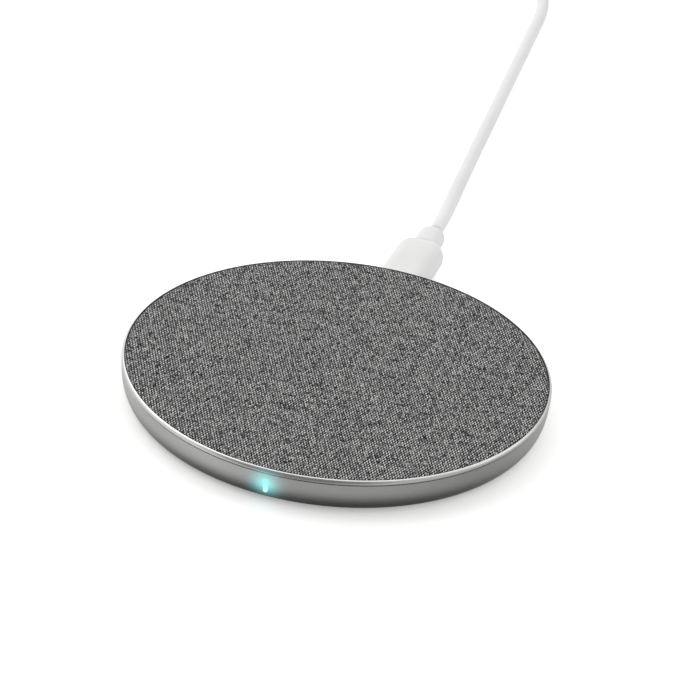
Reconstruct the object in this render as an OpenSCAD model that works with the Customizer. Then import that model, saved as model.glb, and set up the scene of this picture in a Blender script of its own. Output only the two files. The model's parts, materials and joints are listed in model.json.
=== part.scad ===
// Round wireless charging pad with a woven top, and a lead from its socket to a USB-A plug.
// Millimetres. The origin is on the table under the pad's axis, +Z is up and the lead leaves along +Y.

/* [Pad] */
// Widest diameter of the metal rim
pad_d = 91; // [90:0.5:94]
// Height from the table to the top of the fabric
pad_h = 8; // [7.9:0.1:9]
// Depth of the rounded lip, from the fabric down to the crease
lip_h = 0.85; // [0.6:0.05:1]
// Width of the rounded lip, seen from above
lip_w = 0.5; // [0.4:0.05:0.6]
// Gap between the fabric's edge and the lip
fabric_gap = 0.2; // [0.1:0.05:0.3]
// Thickness of the woven top
fabric_t = 0.5; // [0.4:0.05:0.6]
// How far the rim's side leans in from the crease to the bottom
side_lean = 0.35; // [0.2:0.05:0.5]
// How far the rim's side curves under at the bottom
side_tuck = 1.35; // [0.8:0.05:1.4]
// Gap between the table and the base cover
foot_gap = 0.6; // [0.5:0.05:0.7]

/* [Light] */
// Width of the light slot in the rim
slot_w = 1; // [0.8:0.1:1.6]
// Height of the light slot in the rim
slot_h = 3.4; // [2.6:0.1:3.6]
// Height of the slot's centre above the table
slot_z = 4.1; // [3.4:0.1:4.1]

/* [Charging coil] */
// Number of turns
coil_turns = 9; // [6:1:9]
// Radius of the innermost turn
coil_inner_r = 11; // [9:0.5:11]
// Diameter of the litz wire
litz_d = 1.2; // [0.9:0.1:1.2]

/* [Plug] */
// Width of the moulded grip
grip_w = 11; // [10:0.5:12]
// Thickness of the moulded grip
grip_t = 6.8; // [6:0.1:7]
// Length of the moulded grip without its neck
grip_l = 18.8; // [18:0.2:24]
// Width of the neck behind the grip
neck_w = 6.3; // [5:0.1:7]
// Length of the neck
neck_l = 9; // [6:0.5:9]

/* [Lead] */
// Diameter of the lead
cord_d = 3.2; // [3:0.1:3.2]

/* [USB-A plug] */
// Width of the moulded grip
a_grip_w = 16; // [15:0.5:17]
// Length of the moulded grip
a_grip_l = 21; // [18:1:25]
// Thickness of the moulded grip, which lies on the table
a_grip_t = 8; // [7:0.1:8]

/* [Hidden] */
$fn = 96;
eps = 0.01;

// Rim
rim_r = pad_d / 2;
crease_z = pad_h - lip_h;
crease_depth = 0.15;
crease_h = 0.12;
recess_r = rim_r - lip_w;
recess_z = pad_h - 1.1;
flange_r = recess_r - 3.5;
flange_z = recess_z - 0.8;
rim_wall_r = rim_r - 2.7;
rim_bottom_z = foot_gap + 0.1;
side_steps = 14;
lip_steps = 8;

// Base, from the table up
base_r = rim_wall_r - 0.15;
base_t = 1;
base_top = foot_gap + base_t;
groove_depth = 0.4;
ring_in = base_r - 9.6;
ring_out = base_r - 3.2;
screw_ring_r = (ring_in + ring_out) / 2;
screw_head_r = 1.9;
screw_head_t = 0.8;
screw_shank_r = 0.95;
screw_l = 3.6;
boss_r = 3;
boss_top = base_top + 1;
head_top = foot_gap + groove_depth + 0.9;
pin_r = 1;
pin_spots = [[32, 21], [-32, 21], [0, -34]];

// Board
board_r = rim_wall_r - 0.6;
board_t = 0.8;
board_z = base_top + 0.25;
board_top = board_z + board_t;
led_notch_w = 6;
led_notch_y = 2.3;

// Top, from the fabric down
fabric_r = recess_r - fabric_gap;
carrier_top = pad_h - fabric_t - 0.1;
carrier_r = recess_r - 0.1;
post_r = 2.6;
wall_t = 1;
litz_z = recess_z - 0.05 - litz_d / 2;
litz_pitch = litz_d + 0.05;
coil_outer_r = coil_inner_r + coil_turns * litz_pitch;
ferrite_r = coil_outer_r + litz_d / 2 + 1.6;
ferrite_top = litz_z - litz_d / 2 - 0.1;
ferrite_t = 0.8;
shield_top = ferrite_top - ferrite_t - 0.05;
shield_t = 0.35;
shield_z = shield_top - shield_t;
lead_slot_w = 1.6;
lead_r = 0.4;

// Socket and plug, whose shared axis runs along +Y
port_z = board_top + 1.25;
socket_w = 7.5;
socket_h = 2.5;
socket_wall = 0.225;
socket_back = rim_r - 6.1;
socket_front = rim_r - 0.5;
port_w = 8.6;
port_h = 3.4;
tongue_w = 3.8;
tongue_t = 0.6;
tongue_front = socket_front - 1.1;
contact_pitch = 0.65;
contact_w = 0.3;
contact_t = 0.05;
plug_w = 6.85;
plug_t = 1.8;
plug_wall = 0.25;
grip_front = rim_r + 0.3;
plug_tip = grip_front - 4.9;
plug_back = grip_front + 2.4;
grip_back = grip_front + grip_l;
neck_back = grip_back + neck_l;
neck_t = 5.2;
grip_edge_r = 3;
neck_edge_r = 2.3;
core_back = plug_back + 8;

// Lead: the stretch that isn't coiled, from inside the neck to the coil of spare length
cord_r = cord_d / 2;
lay_z = cord_r + 0.05;
cord_route = [
    [0, neck_back - 3, port_z], [0, neck_back, port_z], [-0.2, neck_back + 5, port_z - 0.3],
    [-0.7, neck_back + 11, port_z - 1], [-1.4, neck_back + 18, lay_z + 0.5], [-2.2, neck_back + 26, lay_z],
    [-3.3, neck_back + 40, lay_z], [-4.8, neck_back + 60, lay_z], [-6.4, neck_back + 82, lay_z],
    [-8, neck_back + 104, lay_z], [-9.6, neck_back + 126, lay_z], [-11.3, neck_back + 145, lay_z],
    [-15.6, neck_back + 160, lay_z], [-21.4, neck_back + 172, lay_z], [-25.4, neck_back + 182, lay_z + 0.3]
];
// Coil of spare length: four turns side by side, and three and a quarter on top
hank_x = -4;
hank_y = neck_back + 193;
turn_r = 22.8;
turn_pitch = 3.25;
turn_columns = 4;
hank_in = turn_r - (turn_columns - 1) * turn_pitch - cord_r;
hank_out = turn_r + cord_r;
hank_h = turn_pitch + cord_d;
tie_t = 0.5;
tie_w = 6.5;
tie_in = sqrt(pow(hank_in, 2) - pow(tie_w / 2, 2)) - 0.05;
tie_out = hank_out + 0.05;
// USB-A plug beyond the coil, pointing along +X
a_y = hank_y + turn_r + 2.2;
a_z = a_grip_t / 2;
a_neck_x = 8;
a_grip_x = 18;
a_front_x = a_grip_x + a_grip_l;
a_tip_x = a_front_x + 18.75;
a_shell_w = 12;
a_shell_t = 4.5;
a_wall = 0.3;
a_tongue_t = 1.9;
tail_z = tie_t + cord_r + turn_pitch;
cord_tail_route = [
    [hank_x + 0.5, hank_y + turn_r, tail_z], [hank_x + 4, a_y - 1.8, tail_z - 0.2],
    [hank_x + 8, a_y - 0.7, tail_z - 0.8], [hank_x + 10.5, a_y, a_z], [a_neck_x + 3, a_y, a_z]
];

// ---- Helpers ----

// A point on a smooth curve through b and c, at t from 0 to 1; a and d are their neighbours
function curve_point(a, b, c, d, t) =
    0.5 * (2 * b + (c - a) * t + (2 * a - 5 * b + 4 * c - d) * t * t
    + (3 * b - a - 3 * c + d) * t * t * t);
function smooth(p, n) = [
    for (i = [0 : len(p) - 2])
        for (k = [0 : n - 1])
            curve_point(p[max(i - 1, 0)], p[i], p[i + 1], p[min(i + 2, len(p) - 1)], k / n),
    p[len(p) - 1]
];
function unit(v) = v / norm(v);
function heading(p, i) = unit(p[min(i + 1, len(p) - 1)] - p[max(i - 1, 0)]);
function ring_points(p, i, r, sides, up) =
    let (t = heading(p, i), side = unit(cross(t, up)), rise = cross(side, t))
    [for (k = [0 : sides - 1])
        let (a = 360 * (k + 0.5) / sides) p[i] + r * (cos(a) * side + sin(a) * rise)];

// A closed round tube of radius r along the points p; up is any direction that p never runs along
module tube(p, r, sides = 8, up = [0, 0, 1]) {
    rings = len(p);
    points = [for (i = [0 : rings - 1]) each ring_points(p, i, r, sides, up)];
    walls = [
        for (i = [0 : rings - 2])
            for (k = [0 : sides - 1])
                let (a = i * sides + k, b = i * sides + (k + 1) % sides)
                each [[a, b, b + sides], [a, b + sides, a + sides]]
    ];
    start_cap = [for (k = [1 : sides - 2]) [0, k + 1, k]];
    last = (rings - 1) * sides;
    end_cap = [for (k = [1 : sides - 2]) [last, last + k, last + k + 1]];
    polyhedron(points, concat(walls, start_cap, end_cap), convexity = 6);
}

// Extrudes an outline in X and Z along Y, from y0 to y1
module along_y(y0, y1) translate([0, y1, 0]) rotate([90, 0, 0]) linear_extrude(y1 - y0) children();
// Extrudes an outline in Y and Z along X, from x0 to x1
module along_x(x0, x1) translate([x0, 0, 0]) rotate([90, 0, 90]) linear_extrude(x1 - x0) children();
// A rectangle with round corners, centred
module round_rect(w, h, r) hull()
    for (sx = [-1, 1], sz = [-1, 1])
        translate([sx * (w / 2 - r), sz * (h / 2 - r)]) circle(r, $fn = 24);
// A ring with square edges
module flat_ring(r_in, r_out, z0, z1) translate([0, 0, z0]) difference() {
    cylinder(r = r_out, h = z1 - z0);
    translate([0, 0, -eps]) cylinder(r = r_in, h = z1 - z0 + 2 * eps);
}
module disc(r, z0, z1) translate([0, 0, z0]) cylinder(r = r, h = z1 - z0);
// A box standing on z0, centred at x and y
module block(x, y, z0, w, l, h) translate([x - w / 2, y - l / 2, z0]) cube([w, l, h]);
module at_screws() for (a = [45 : 90 : 315]) rotate(a) translate([screw_ring_r, 0, 0]) children();
// The outline of a small USB plug: a rectangle with its two lower corners cut off
module small_usb_outline(w, h, cut) polygon([
    [-w / 2, h / 2], [-w / 2, cut - h / 2], [cut - w / 2, -h / 2],
    [w / 2 - cut, -h / 2], [w / 2, cut - h / 2], [w / 2, h / 2]
]);
// The body of a surface-mounted part, standing on the board
module chip_part(x, y, w, l, h) block(x, y, board_top, w, l, h);

// ---- Pad ----

// The rim's side, from the crease down: it leans in, then curves under
function side_point(t) = [
    rim_r - side_lean * t - side_tuck * pow(t, 4),
    crease_z - crease_h + (rim_bottom_z - crease_z + crease_h) * t
];
module rim_outline() polygon(concat(
    [for (k = [0 : lip_steps]) let (a = 90 - 90 * k / lip_steps)
        [recess_r + lip_w * cos(a), crease_z + lip_h * sin(a)]],
    [[rim_r - crease_depth, crease_z - crease_h / 2]],
    [for (k = [0 : side_steps]) side_point(k / side_steps)],
    [[rim_wall_r, rim_bottom_z], [rim_wall_r, flange_z], [flange_r, flange_z], [flange_r, recess_z],
        [recess_r, recess_z]]
));
module slot_outline(w, h) translate([0, slot_z]) hull() {
    translate([0, (h - w) / 2]) circle(w / 2, $fn = 24);
    translate([0, (w - h) / 2]) circle(w / 2, $fn = 24);
}
module rim_housing() color("#b9b9bb") difference() {
    rotate_extrude($fn = 180) rim_outline();
    along_y(-rim_r - 1, -rim_wall_r + 1) slot_outline(slot_w, slot_h);
    along_y(rim_wall_r - 1, rim_r + 1) translate([0, port_z]) square([port_w, port_h], center = true);
}

module base_cover() color("#2b2c2f") {
    difference() {
        union() {
            disc(base_r, foot_gap, base_top);
            at_screws() disc(boss_r, base_top - eps, boss_top);
            for (p = pin_spots) translate([p[0], p[1], 0]) disc(pin_r + 0.6, base_top - eps, board_z);
            for (p = pin_spots) translate([p[0], p[1], 0]) disc(pin_r, board_z - eps, board_top + 0.3);
        }
        flat_ring(ring_in, ring_out, foot_gap - eps, foot_gap + groove_depth);
        at_screws() disc(screw_head_r + 0.2, foot_gap, head_top);
        at_screws() disc(screw_shank_r + 0.2, foot_gap, boss_top + eps);
    }
}

module non_slip_ring() color("#3a3b3d")
    flat_ring(ring_in + 0.1, ring_out - 0.1, 0, foot_gap + groove_depth);

module cover_screw() {
    head_z = head_top - screw_head_t;
    difference() {
        disc(screw_head_r, head_z, head_top);
        for (a = [0, 90]) rotate(a) block(0, 0, head_z - eps, 2, 0.5, 0.45);
    }
    disc(screw_shank_r, head_top - eps, head_top + screw_l);
}
module cover_screws() color("#8d8f93") at_screws() cover_screw();

module carrier_plate() color("#e6e6e4") difference() {
    union() {
        disc(carrier_r, recess_z, carrier_top);
        flat_ring(ferrite_r + 0.2, ferrite_r + 0.2 + wall_t, shield_z, recess_z + eps);
        at_screws() disc(post_r, boss_top, recess_z + eps);
    }
    at_screws() disc(screw_shank_r + 0.03, boss_top - eps, head_top + screw_l + 0.2);
    rotate(-90) block(ferrite_r + 0.7, 0, shield_z - eps, 3, 2 * lead_slot_w + 2, recess_z - shield_z);
}

module fabric_disc() color("#6c6d70") disc(fabric_r, pad_h - fabric_t, pad_h);
module fabric_adhesive() color("#f1e7b8") disc(fabric_r - 0.5, carrier_top, pad_h - fabric_t);

spiral_steps = 20;
spiral_route = [for (k = [0 : coil_turns * spiral_steps])
    let (a = 270 + 360 * k / spiral_steps, r = coil_inner_r + litz_pitch * k / spiral_steps)
    [r * cos(a), r * sin(a), litz_z]];
module transmit_coil() color("#b87333") tube(spiral_route, litz_d / 2 - 0.02, 6);

// The inner lead drops into the ferrite's slot, and both leads run out to the board's solder pads
lead_end_y = -ferrite_r - 3.2;
inner_lead = [
    [0, -coil_inner_r + 1.1, litz_z], [0, -coil_inner_r + 0.9, litz_z - 0.8],
    [0, -coil_inner_r - 0.6, ferrite_top - 0.45], [0, -ferrite_r + 1, ferrite_top - 0.45],
    [0, -ferrite_r - 1.6, ferrite_top - 0.6], [0, lead_end_y, board_top + 0.45]
];
outer_lead = [
    [0.05, -coil_outer_r, litz_z], [1.3, -coil_outer_r - 0.25, litz_z],
    [2.1, -coil_outer_r - 1.3, litz_z - 0.1], [2.3, -ferrite_r - 1.4, litz_z - 0.6],
    [2.3, lead_end_y, board_top + 0.45]
];
module coil_leads() color("#c8843c") {
    tube(smooth(inner_lead, 3), lead_r - 0.03, 6, [1, 0, 0]);
    tube(smooth(outer_lead, 3), lead_r - 0.03, 6);
}

module coil_adhesive() color("#f1e7b8") difference() {
    flat_ring(coil_inner_r - 0.6, coil_outer_r + 0.6, ferrite_top, ferrite_top + 0.08);
    rotate(-90) block(coil_inner_r, 0, ferrite_top - eps, 6, lead_slot_w, 1);
}
module ferrite_disc() color("#3b3b3e") difference() {
    disc(ferrite_r, ferrite_top - ferrite_t, ferrite_top);
    rotate(-90) translate([coil_inner_r - 2.5, -lead_slot_w / 2, ferrite_top - ferrite_t - eps])
        cube([ferrite_r, lead_slot_w, ferrite_t + 2 * eps]);
}
module shield_plate() color("#c9cbce") disc(ferrite_r, shield_z, shield_top);

chip_h = 0.9;
module thermal_pad() color("#7f8fa6")
    block(0, 0, board_top + chip_h, 7, 7, shield_z - board_top - chip_h);
module temperature_sensor() color("#20242c") translate([0, 0, litz_z]) {
    sphere(0.5, $fn = 24);
    for (s = [-1, 1]) translate([0, s * 0.25, 0]) rotate([0, 90, 0]) cylinder(r = 0.12, h = 6, $fn = 16);
}

module circuit_board() color("#1f6b43") difference() {
    disc(board_r, board_z, board_top);
    at_screws() disc(boss_r + 0.4, board_z - eps, board_top + eps);
    for (p = pin_spots) translate([p[0], p[1], 0]) disc(pin_r + 0.1, board_z - eps, board_top + eps);
    block(0, -board_r, board_z - eps, led_notch_w, 2 * led_notch_y, board_t + 2 * eps);
}

module controller_chip() color("#26272a") chip_part(0, 0, 6, 6, chip_h);
module power_transistors() color("#2b2c2f")
    for (x = [-12, -6, 6, 12]) chip_part(x, 30, 3.3, 3.3, 0.9);
module input_inductor() color("#4d4f52") difference() {
    chip_part(31, 6, 5, 5, 2.8);
    translate([31, 6, board_top + 2.6]) cylinder(r = 1.7, h = 1, $fn = 32);
}
module resonance_capacitors() color("#c9b48c")
    for (y = [-9, -3, 3, 9]) chip_part(-31, y, 3.2, 2.5, 2.2);
module bulk_capacitors() color("#a78f63")
    for (x = [-7.5, 7.5]) chip_part(x, 35.5, 3.2, 1.8, 1.6);
module chip_resistors() color("#303236")
    for (k = [0 : 7]) rotate(203 + 3 * k) chip_part(32, 0, 1.6, 0.8, 0.45);
module chip_capacitors() color("#b59d73") {
    for (k = [0 : 6]) rotate(-20 - 4.6 * k) chip_part(31.5, 0, 1.6, 0.8, 0.7);
    for (x = [-5.2, 5.2]) for (y = [-4, 0, 4]) chip_part(x, y, 0.8, 1.6, 0.7);
}
module crystal() color("#c4c6ca") chip_part(9, -8, 3.2, 2.5, 0.7);
module sense_resistor() color("#303236") chip_part(31, -4, 6.3, 3.1, 0.6);

led_back = -board_r + led_notch_y + 0.3;
module indicator_led() color("#f2f2ee") block(0, led_back + 0.5, board_top, 3, 1, 1.5);
module light_pipe() color("#bfeef2") {
    along_y(-rim_r + 0.3, -rim_wall_r + 0.3) slot_outline(slot_w - 0.06, slot_h - 0.06);
    along_y(-rim_wall_r + 0.3 - eps, led_back - 0.3)
        translate([0, slot_z]) square([2.4, slot_h], center = true);
}

// ---- Socket ----

module usb_socket_shell() color("#c4c6ca") difference() {
    along_y(socket_back, socket_front) translate([0, port_z]) small_usb_outline(socket_w, socket_h, 0.9);
    along_y(socket_back + 0.3, socket_front + 1) translate([0, port_z])
        small_usb_outline(socket_w - 2 * socket_wall, socket_h - 2 * socket_wall, 0.8);
}
module usb_socket_tongue() color("#1c1d1f") {
    along_y(socket_back + 0.3, socket_back + 1.1) translate([0, port_z])
        square([5.2, socket_h - 2 * socket_wall], center = true);
    along_y(socket_back + 1.1 - eps, tongue_front) translate([0, port_z])
        square([tongue_w, tongue_t], center = true);
}
// Five flat contacts from y0 to y1, standing on z0
module contact_strips(y0, y1, z0) for (k = [-2 : 2])
    block(k * contact_pitch, (y0 + y1) / 2, z0, contact_w, y1 - y0, contact_t);
module usb_socket_contacts() color("#d8b24a") {
    contact_strips(socket_back + 1.1, tongue_front - 0.2, port_z - tongue_t / 2 - contact_t);
    for (k = [-2 : 2]) block(k * contact_pitch, socket_back - 0.5, board_top, contact_w, 0.9, 0.15);
}

// ---- Plug ----

module plug_cavity_outline()
    small_usb_outline(plug_w - 2 * plug_wall, plug_t - 2 * plug_wall, 0.6);
module plug_shell() color("#c9cbce") difference() {
    along_y(plug_tip, plug_back) translate([0, port_z]) small_usb_outline(plug_w, plug_t, 0.7);
    along_y(plug_tip - 1, plug_back + 1) translate([0, port_z]) plug_cavity_outline();
}
slot_floor = port_z - 0.45;
module plug_insert() color("#202124") difference() {
    along_y(plug_tip + 0.2, plug_back) translate([0, port_z]) plug_cavity_outline();
    along_y(plug_tip - 1, tongue_front + 0.6) translate([0, port_z]) square([4.4, 0.9], center = true);
}
module plug_contacts() color("#d8b24a") contact_strips(plug_tip + 0.4, tongue_front + 0.5, slot_floor);
module plug_inner_mould() color("#f4f4f2")
    along_y(plug_back, core_back) translate([0, port_z]) square([8, 4], center = true);

// Puts a ball of radius r in each corner of a block w wide and h high, whose back end is at y
module at_corners(w, h, r, y)
    for (sx = [-1, 1], sz = [-1, 1])
        translate([sx * (w / 2 - r), y - r, port_z + sz * (h / 2 - r)]) children();
// The grip with round rear shoulders, and the neck that the lead comes out of
module plug_overmould() color("#f3f4f5") difference() {
    union() {
        hull() {
            along_y(grip_front, grip_front + 0.4)
                translate([0, port_z]) round_rect(grip_w, grip_t, grip_edge_r);
            at_corners(grip_w, grip_t, grip_edge_r, grip_back) sphere(grip_edge_r, $fn = 32);
        }
        hull() {
            along_y(grip_back - 3.5, grip_back - 3)
                translate([0, port_z]) round_rect(neck_w, neck_t, neck_edge_r);
            at_corners(neck_w, neck_t, neck_edge_r, neck_back) sphere(neck_edge_r, $fn = 32);
        }
    }
    along_y(grip_front - 1, plug_back) translate([0, port_z]) small_usb_outline(plug_w, plug_t, 0.7);
    along_y(plug_back - eps, core_back) translate([0, port_z]) square([8, 4], center = true);
    translate([0, neck_back + 1, port_z]) rotate([90, 0, 0])
        cylinder(r = cord_r + 0.02, h = 4.02, $fn = 48);
}

// ---- Lead ----

module cord_tube() color("#eef0f1") tube(smooth(cord_route, 3), cord_r);
module cord_coil() color("#e4e6e7") translate([hank_x, hank_y, 0])
    flat_ring(hank_in, hank_out, tie_t, tie_t + hank_h);
module cord_tail() color("#eef0f1") tube(smooth(cord_tail_route, 2), cord_r);
module coil_tie() color("#2b2c2f") translate([hank_x, hank_y, 0]) difference() {
    along_y(-tie_w / 2, tie_w / 2)
        translate([tie_in - tie_t, 0]) square([tie_out - tie_in + 2 * tie_t, hank_h + 2 * tie_t]);
    along_y(-tie_w / 2 - 1, tie_w / 2 + 1)
        translate([tie_in, tie_t - eps]) square([tie_out - tie_in, hank_h + 2 * eps]);
}

// ---- USB-A plug ----

a_core_x = a_front_x - 8;
module usb_a_shell() color("#c9cbce") difference() {
    along_x(a_core_x, a_tip_x) translate([a_y, a_z]) square([a_shell_w, a_shell_t], center = true);
    along_x(a_core_x - 1, a_tip_x + 1) translate([a_y, a_z])
        square([a_shell_w - 2 * a_wall, a_shell_t - 2 * a_wall], center = true);
    for (s = [-1, 1]) block(a_tip_x - 7, a_y + s * 3, a_z, 2.2, 2.2, a_shell_t);
}
a_tongue_z = a_z - a_shell_t / 2 + a_wall;
module usb_a_tongue() color("#f4f4f2") {
    along_x(a_core_x, a_front_x) translate([a_y, a_z])
        square([a_shell_w - 2 * a_wall, a_shell_t - 2 * a_wall], center = true);
    along_x(a_front_x - eps, a_tip_x - 0.4) translate([a_y, a_tongue_z + a_tongue_t / 2])
        square([a_shell_w - 2 * a_wall, a_tongue_t], center = true);
}
module usb_a_contacts() color("#d8b24a")
    for (y = [-3.5, -1, 1, 3.5]) let (long = abs(y) > 2 ? 0 : 1)
        block(a_tip_x - 5 - long / 2, a_y + y, a_tongue_z + a_tongue_t, 7.4 - long, 1.1, 0.1);
module usb_a_inner_mould() color("#f4f4f2")
    along_x(a_grip_x + 1.5, a_core_x) translate([a_y, a_z]) square([11, 5], center = true);
// The grip with round edges, and its tapered strain relief
module usb_a_overmould() color("#f3f4f5") difference() {
    union() {
        hull() for (x = [a_grip_x + 2, a_front_x - 1], sy = [-1, 1], sz = [-1, 1])
            translate([x, a_y + sy * (a_grip_w / 2 - 2), a_z + sz * (a_grip_t / 2 - 2)])
                rotate([0, 90, 0]) cylinder(r1 = 2, r2 = x > a_grip_x + 5 ? 1.6 : 2, h = 1, $fn = 32);
        hull() {
            along_x(a_neck_x, a_neck_x + 0.5) translate([a_y, a_z]) circle(2.4, $fn = 32);
            along_x(a_grip_x - 1, a_grip_x + 3) translate([a_y, a_z]) round_rect(8, 6, 2.9);
        }
    }
    along_x(a_core_x, a_front_x + 1) translate([a_y, a_z]) square([a_shell_w, a_shell_t], center = true);
    along_x(a_grip_x + 1.5, a_core_x + eps) translate([a_y, a_z]) square([11, 5], center = true);
    translate([a_neck_x - 1, a_y, a_z]) rotate([0, 90, 0]) cylinder(r = cord_r + 0.02, h = 4.02, $fn = 48);
}

rim_housing();
base_cover();
non_slip_ring();
cover_screws();
carrier_plate();
fabric_disc();
fabric_adhesive();
transmit_coil();
coil_leads();
coil_adhesive();
ferrite_disc();
shield_plate();
thermal_pad();
temperature_sensor();
circuit_board();
controller_chip();
power_transistors();
input_inductor();
resonance_capacitors();
bulk_capacitors();
chip_resistors();
chip_capacitors();
crystal();
sense_resistor();
indicator_led();
light_pipe();
usb_socket_shell();
usb_socket_tongue();
usb_socket_contacts();
plug_shell();
plug_insert();
plug_contacts();
plug_inner_mould();
plug_overmould();
cord_tube();
cord_coil();
cord_tail();
coil_tie();
usb_a_shell();
usb_a_tongue();
usb_a_contacts();
usb_a_inner_mould();
usb_a_overmould();
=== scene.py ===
import json
import math

import bmesh
import bpy
from mathutils import Matrix, Vector


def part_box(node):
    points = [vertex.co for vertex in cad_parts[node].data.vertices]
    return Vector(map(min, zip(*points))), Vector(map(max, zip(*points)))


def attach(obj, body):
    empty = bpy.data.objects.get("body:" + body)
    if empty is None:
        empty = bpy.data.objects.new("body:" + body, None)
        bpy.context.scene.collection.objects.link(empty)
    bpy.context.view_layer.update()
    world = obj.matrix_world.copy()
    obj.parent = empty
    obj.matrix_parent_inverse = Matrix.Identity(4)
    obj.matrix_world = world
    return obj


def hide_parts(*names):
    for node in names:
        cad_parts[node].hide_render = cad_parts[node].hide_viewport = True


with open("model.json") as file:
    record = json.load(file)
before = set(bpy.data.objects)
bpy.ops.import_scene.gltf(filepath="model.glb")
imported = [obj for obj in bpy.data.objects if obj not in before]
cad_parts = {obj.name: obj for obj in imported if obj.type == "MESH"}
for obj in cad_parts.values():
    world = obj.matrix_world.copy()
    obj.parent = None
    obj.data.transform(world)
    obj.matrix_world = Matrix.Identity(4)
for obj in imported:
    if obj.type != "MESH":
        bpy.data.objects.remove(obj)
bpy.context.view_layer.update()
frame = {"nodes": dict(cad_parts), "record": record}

MM = 0.001

# ---- Sizes, from the frame ----

rim_low, rim_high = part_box("rim_housing")
fabric_low, fabric_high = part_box("fabric_disc")
grip_low, grip_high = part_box("plug_overmould")
plug_low, plug_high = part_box("plug_shell")
hank_low, hank_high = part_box("cord_coil")
tie_low, tie_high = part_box("coil_tie")
a_grip_low, a_grip_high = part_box("usb_a_overmould")
a_shell_low, a_shell_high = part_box("usb_a_shell")
pipe_low, pipe_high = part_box("light_pipe")

RIM_R = (rim_high.x - rim_low.x) / 2
PAD_TOP = rim_high.z
FABRIC_R = (fabric_high.x - fabric_low.x) / 2
LIP_W = 0.5 * MM
LIP_H = 0.85 * MM
CREASE_DEPTH = 0.24 * MM
CREASE_H = 0.24 * MM
CREASE_Z = PAD_TOP - LIP_H - CREASE_H / 2
PORT_Z = (plug_low.z + plug_high.z) / 2
SLOT_Z = (pipe_low.z + pipe_high.z) / 2
NECK_BACK = grip_high.y
GRIP_BACK = NECK_BACK - 9 * MM
GROOVE = 0.25 * MM
CORD_D = 3.2 * MM
CORD_R = CORD_D / 2


def link(name, data):
    made = bpy.data.objects.new(name, data)
    bpy.context.scene.collection.objects.link(made)
    return made


# ---- Camera: the photo's own, found from the outline of the phone, whose size is known ----

AIM = Vector((0.6, 6.6, 8.0)) * MM
AZIMUTH = math.radians(14.9)
ELEVATION = math.radians(30.15)
ROLL = math.radians(5.97)
DISTANCE = 615.5 * MM
LENS = 148.77
SENSOR_W = 36
NEAREST, FARTHEST = 0.01, 20


def make_camera():
    back = Vector((
        math.sin(AZIMUTH) * math.cos(ELEVATION),
        -math.cos(AZIMUTH) * math.cos(ELEVATION),
        math.sin(ELEVATION),
    ))
    camera = link("camera", bpy.data.cameras.new("camera"))
    camera.data.lens = LENS
    camera.data.sensor_width = SENSOR_W
    camera.data.clip_start, camera.data.clip_end = NEAREST, FARTHEST
    turn = (-back).to_track_quat("-Z", "Y").to_matrix().to_4x4()
    camera.matrix_world = Matrix.Translation(AIM + back * DISTANCE) @ turn @ Matrix.Rotation(ROLL, 4, "Z")
    bpy.context.scene.camera = camera


make_camera()

# ---- Mesh helpers ----


def mesh_object(name, points, faces, sharp=35):
    """A smooth-shaded object whose edges over that many degrees stay sharp."""
    mesh = bpy.data.meshes.new(name)
    mesh.from_pydata([tuple(p) for p in points], [], faces)
    bm = bmesh.new()
    bm.from_mesh(mesh)
    bmesh.ops.remove_doubles(bm, verts=bm.verts, dist=1e-7)
    bmesh.ops.recalc_face_normals(bm, faces=bm.faces)
    bm.to_mesh(mesh)
    bm.free()
    shade(mesh, sharp)
    return link(name, mesh)


def shade(mesh, sharp):
    mesh.shade_smooth()
    mesh.set_sharp_from_angle(angle=math.radians(sharp))


def carve(piece, *cutters, sharp=35):
    """Takes the cutters out of the piece for good."""
    for cutter in cutters:
        cut = piece.modifiers.new("cut", "BOOLEAN")
        cut.object = cutter
        cut.operation = "DIFFERENCE"
        cut.solver = "EXACT"
    graph = bpy.context.evaluated_depsgraph_get()
    carved = bpy.data.meshes.new_from_object(piece.evaluated_get(graph), depsgraph=graph)
    piece.modifiers.clear()
    piece.data = carved
    shade(carved, sharp)
    for cutter in cutters:
        bpy.data.objects.remove(cutter)
    return piece


def lathe(name, profile, segments, sharp):
    """Turns a closed profile of (radius, height) points round the Z axis."""
    points = []
    for k in range(segments):
        angle = 2 * math.pi * k / segments
        points += [(r * math.cos(angle), r * math.sin(angle), z) for r, z in profile]
    n = len(profile)
    faces = []
    for k in range(segments):
        here, there = k * n, (k + 1) % segments * n
        faces += [(here + i, there + i, there + (i + 1) % n, here + (i + 1) % n) for i in range(n)]
    return mesh_object(name, points, faces, sharp)


def fillet(corners, radius, steps):
    """The outline through the corners with each one rounded, as a list of (x, y)."""
    outline = []
    count = len(corners)
    for i, corner in enumerate(corners):
        here = Vector(corner)
        before = (Vector(corners[i - 1]) - here).normalized()
        after = (Vector(corners[(i + 1) % count]) - here).normalized()
        half = before.angle(after) / 2
        reach = radius / math.tan(half)
        centre = here + (before + after).normalized() * radius / math.sin(half)
        start = here + before * reach - centre
        sweep = start.angle_signed(here + after * reach - centre)
        for k in range(steps + 1):
            outline.append(tuple(centre + Matrix.Rotation(-sweep * k / steps, 2) @ start))
    return outline


def round_rect(width, height, radius, steps=6):
    w, h = width / 2, height / 2
    return fillet([(w, -h), (w, h), (-w, h), (-w, -h)], min(radius, w * 0.999, h * 0.999), steps)


def small_usb(width, height, cut, radius):
    """The outline of a small USB shell: its two lower corners are cut off."""
    w, h = width / 2, height / 2
    corners = [(-w, h), (-w, cut - h), (cut - w, -h), (w - cut, -h), (w, cut - h), (w, h)]
    return fillet(corners, radius, 4)


def place(axis, along, across, up, centre):
    """A point at that distance along the axis, from an outline's (across, up)."""
    if axis == "Y":
        return (centre[0] + across, along, centre[1] + up)
    return (along, centre[0] + across, centre[1] + up)


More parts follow.
